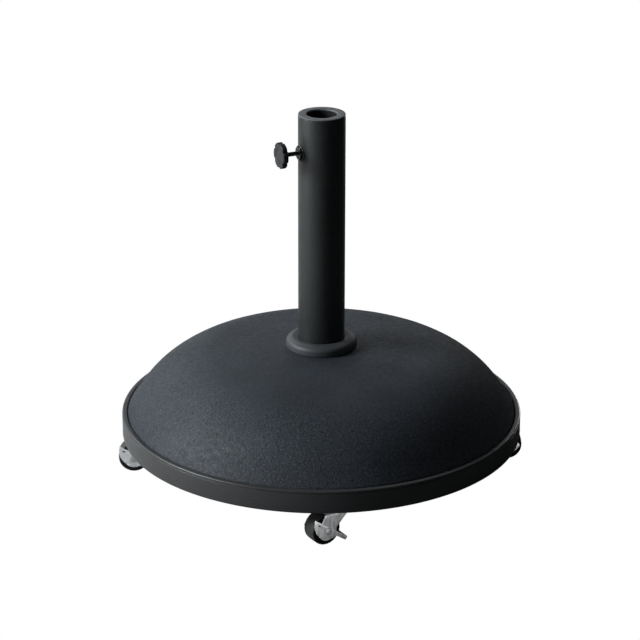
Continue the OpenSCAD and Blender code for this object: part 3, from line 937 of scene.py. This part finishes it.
def make_lever(name):
    """Two cheeks, each a segment of a disc under a straight top edge, joined by the pedal plate."""
    slope = math.radians(35)
    cheek_in, cheek_t, cheek_r, cheek_c = 13.3 * MM, 1.5 * MM, 22 * MM, (-4 * MM, 10.5 * MM)
    top, foot, pedal, bridge = 4.8 * MM, -0.5 * MM, 31 * MM, 21.6 * MM
    tip_r, far_tip = 1.5 * MM, -15 * MM
    hole_r, hole_at = 1.4 * MM, (-16.4 * MM, 1.2 * MM, 0)
    tip_angle = 180 + math.degrees(math.asin((cheek_c[1] - top) / cheek_r))
    arm_angle = 360 - math.degrees(math.asin((cheek_c[1] - foot) / cheek_r))
    outline = arc(cheek_c, cheek_r, tip_angle, arm_angle, 40)
    outline += arc((pedal - tip_r, foot + tip_r), tip_r, -90, 0, 5)
    outline += arc((pedal - tip_r, top - tip_r), tip_r, 0, 90, 5)
    cheeks = []
    far_foot = cheek_c[1] - math.sqrt(cheek_r ** 2 - (far_tip - cheek_c[0]) ** 2)
    short = [(far_tip, top), (far_tip, far_foot)] + [p for p in outline if p[0] > far_tip + MM]
    for z, shape in ((cheek_in, outline), (-cheek_in - cheek_t, short)):
        cheek = plate("cheek", shape, cheek_t, SHEET_EDGE)
        drill = [(0, -MM), (hole_r, -MM), (hole_r, 3 * MM), (0, 3 * MM)]
        hole = lathe("hole", drill, 32, closed=False)
        cut(cheek, place(hole, Matrix.Translation(hole_at)))
        cheeks.append(place(cheek, Matrix.Translation((0, 0, z))))
    middle = cheek_in + cheek_t / 2
    levels = np.linspace(foot + cheek_t / 2, top - cheek_t / 2 - 2 * MM, 4)
    rows = []
    for across, level in u_path(middle, levels, top - cheek_t / 2, 2 * MM):
        rows.append([(bridge + (pedal - bridge) * u, level, across) for u in np.linspace(0, 1, 6)])
    lever = join(cheeks + [sheet_metal("pedal", rows, cheek_t)])
    lever.name = f"rocker_{name}"
    flip = Matrix.Rotation(math.pi, 4, "X")
    place(lever, axle_matrix(name) @ Matrix.Rotation(math.pi + slope, 4, "Z") @ flip)
    return show(lever, f"lever_{name}", [f"brake_{name}"], ZINC_LEVER, 40)


def make_top_plate(name):
    """A square plate with a raised ball race pressed down out of it."""
    lo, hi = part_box(f"caster_plate_{name}")
    side, corner, thickness = 20 * MM, 4 * MM, 2.2 * MM
    corners = [(x * side, y * side, corner) for x, y in ((-1, -1), (1, -1), (1, 1), (-1, 1))]
    under = hi.z - thickness
    flat = plate("top", rounded(corners, 8), thickness, 0.35 * MM)
    place(flat, Matrix.Translation((0, 0, under)))
    pin_r, root = 4.05 * MM, under + 0.2 * MM
    race = lathe("race", rounded([
        (pin_r, lo.z, 0.2 * MM), (13 * MM, lo.z, 0.6 * MM),
        (14 * MM, root, 0.2 * MM), (pin_r, root, 0.1 * MM),
    ], 4), 96)
    join([flat, race])
    flat.name = f"top_plate_{name}"
    place(flat, radial_frame(name))
    return show(flat, "base", [f"caster_plate_{name}"], ZINC_PLATE)


def make_kingpin(name):
    """The rivet on the swivel axis, with a dimple in its formed head."""
    lo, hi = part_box(f"kingpin_{name}")
    head_r, bar_r, z = 6.2 * MM, 4 * MM, lo.z
    profile = [
        (0, z + 0.5 * MM), (1.8 * MM, z + 0.45 * MM), (2.6 * MM, z + 0.05 * MM), (3.6 * MM, z),
        (5.2 * MM, z + 0.25 * MM), (head_r, z + 0.9 * MM), (head_r, z + 1.5 * MM),
        (bar_r, z + 1.6 * MM), (bar_r, hi.z - 0.3 * MM), (bar_r - 0.3 * MM, hi.z), (0, hi.z),
    ]
    piece = place(lathe(f"swivel_rivet_{name}", profile, 64, closed=False), radial_frame(name))
    return show(piece, "base", [f"kingpin_{name}"], ZINC_PIN)


def make_caster_screws():
    """Sixteen pan-head screws with a cross recess."""
    z, tip_z = (corner.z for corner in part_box("caster_screws"))
    half_pitch, shank_r = 15 * MM, 2.1 * MM
    profile = [
        (0, z), (1.6 * MM, z + 0.08 * MM), (2.9 * MM, z + 0.45 * MM), (3.6 * MM, z + 1.1 * MM),
        (3.8 * MM, z + 1.7 * MM), (3.7 * MM, z + 2.0 * MM), (shank_r, z + 2.0 * MM),
        (shank_r, tip_z - 2 * MM), (0.4 * MM, tip_z), (0, tip_z),
    ]
    screw = lathe("screw_blank", profile, 40, closed=False)
    arm, slot = 1.9 * MM, 0.42 * MM
    recess = [(-arm, -slot), (arm, -slot), (arm, slot), (-arm, slot)]
    for a in (0, math.pi / 2):
        cutter = plate("cutter", recess, 1.4 * MM, 0.05 * MM)
        place(cutter, Matrix.Translation((0, 0, z - 0.3 * MM)) @ Matrix.Rotation(a, 4, "Z"))
        cut(screw, cutter)
    copies = []
    for n, name in enumerate(CASTERS):
        for k, (sx, sy) in enumerate(((1, 1), (-1, 1), (-1, -1), (1, -1))):
            copy = bpy.data.objects.new("copy", screw.data.copy())
            bpy.context.scene.collection.objects.link(copy)
            turn = Matrix.Rotation(0.7 * (n * 4 + k), 4, "Z")
            at = Matrix.Translation((sx * half_pitch, sy * half_pitch, 0))
            place(copy, radial_frame(name) @ at @ turn)
            copies.append(copy)
    bpy.data.objects.remove(screw)
    piece = join(copies)
    piece.name = "plate_screws"
    return show(piece, "base", ["caster_screws"], ZINC_PIN)


def dress(name, material):
    """Gives a CAD node that stays a procedural finish."""
    node = frame["nodes"][name]
    node.data.materials.clear()
    node.data.materials.append(material)


# ---------------------------------------------------------------- the scene

bpy.context.scene.view_settings.view_transform = "Standard"
make_camera()
make_world()
make_lights()
make_floor()

make_weight()
clamp_at = clamp_frame()
smooth_pieces = [make_tray(), make_tube(clamp_at)]
make_collar()
make_sleeve(clamp_at)
make_nut(clamp_at)
make_screw(clamp_at)
make_knob(clamp_at)
make_pad(clamp_at)

# The fork's zinc is tinted darker than the lever's: a painted shade for the fork sitting between
# the cheeks and under the tray.
ZINC_FORK_PAINTED_SHADE = plated("zinc_fork_painted_shade", (0.6, 0.61, 0.615), 0.42)
ZINC_LEVER = plated("zinc_lever", (0.78, 0.785, 0.79), 0.4)
ZINC_PLATE = plated("zinc_plate", (0.6, 0.61, 0.63), 0.34)
ZINC_PIN = plated("zinc_pin", (0.6, 0.6, 0.61), 0.28, 300)
ZINC_AXLE = plated("zinc_axle", (0.42, 0.425, 0.43), 0.55, 300)
RUBBER = tyre_rubber()
NYLON = moulded_plastic("hub_nylon", (0.02, 0.02, 0.02), (0.03, 0.03, 0.03), 0.4, 900)
zinc_pieces = []
for caster in CASTERS:
    zinc_pieces += [make_top_plate(caster), make_fork(caster)]
    zinc_pieces += [make_axle(caster), make_lever(caster)]
    make_kingpin(caster)
    make_wheel(caster)
make_caster_screws()

rim = area_light("rim", (1.4, 2.8, 0.4), (0, 0, 0.2), (0.5, 0.7), 14)
light_only(rim, smooth_pieces)
caster_fill = area_light("caster_fill", (0.9, -1.6, 0.05), (0, -0.2, 0.03), (0.7, 0.08), 12)
light_only(caster_fill, zinc_pieces)

dress("reinforcing_mesh", plain_metal("wire_steel", (0.3, 0.22, 0.16), 0.6))
dress("foot_plate", powder_coat())
dress("foot_bolts", ZINC_PIN)
dress("foot_inserts", plain_metal("insert_brass", (0.7, 0.52, 0.22), 0.35))
ANCHOR_NYLON = moulded_plastic("anchor_nylon", (0.3, 0.3, 0.29), (0.36, 0.36, 0.35), 0.5, 800)
dress("caster_anchors", ANCHOR_NYLON)
dress("swivel_balls", plain_metal("ball_steel", (0.75, 0.75, 0.76), 0.12))
